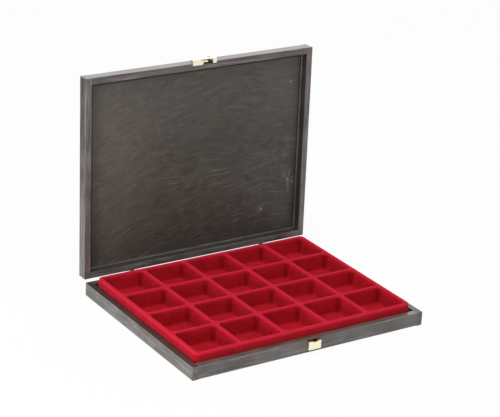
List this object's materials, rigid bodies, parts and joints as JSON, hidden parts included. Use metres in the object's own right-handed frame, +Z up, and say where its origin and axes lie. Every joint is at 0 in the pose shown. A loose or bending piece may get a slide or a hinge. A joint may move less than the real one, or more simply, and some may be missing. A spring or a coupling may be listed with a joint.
{
  "type": "coin collection box",
  "caption": "Flat wooden case with a stop-hinged lid, a lift-out flocked tray of square compartments, and a brass hook latch on the lid that locks into a slotted catch on the base.",
  "frame": {"origin": "centre of the underside of the base", "axes": "+X to the right seen from the front, +Z up, the front with the catch faces -Y"},
  "size_m": [0.305, 0.2686, 0.2655],
  "materials": {
    "stained_rails": "dark grey-brown stain, satin lacquer",
    "stained_panels": "dark brown stained veneer, satin",
    "red_flock": "flocked, velvet-like",
    "brass": "polished"
  },
  "bodies": {
    "base": {"base_left_rail": "stained_rails", "base_right_rail": "stained_rails", "base_front_rail": "stained_rails", "base_back_rail": "stained_rails", "base_panel": "stained_panels", "coin_tray": "red_flock", "catch_box": "brass", "hinge_1_base_leaf": "brass", "hinge_2_base_leaf": "brass", "hinge_1_pin": "brass", "hinge_2_pin": "brass"},
    "lid": {"lid_left_rail": "stained_rails", "lid_right_rail": "stained_rails", "lid_front_rail": "stained_rails", "lid_back_rail": "stained_rails", "lid_panel": "stained_panels", "latch_case": "brass", "latch_pivot": "brass", "hinge_1_lid_leaf": "brass", "hinge_2_lid_leaf": "brass"},
    "hook": {"latch_hook": "brass"}
  },
  "joints": [
    {"name": "lid_hinge", "type": "hinge", "parent": "base", "child": "lid", "pos_m": [0, 0.1234, 0.01605], "axis": [1, 0, 0], "range_deg": [0, 91]},
    {"name": "latch_turn", "type": "hinge", "parent": "lid", "child": "hook", "pos_m": [0.0024, 0.13275, 0.26262], "axis": [0, -0.0175, -0.9998], "range_deg": [0, 9]}
  ]
}
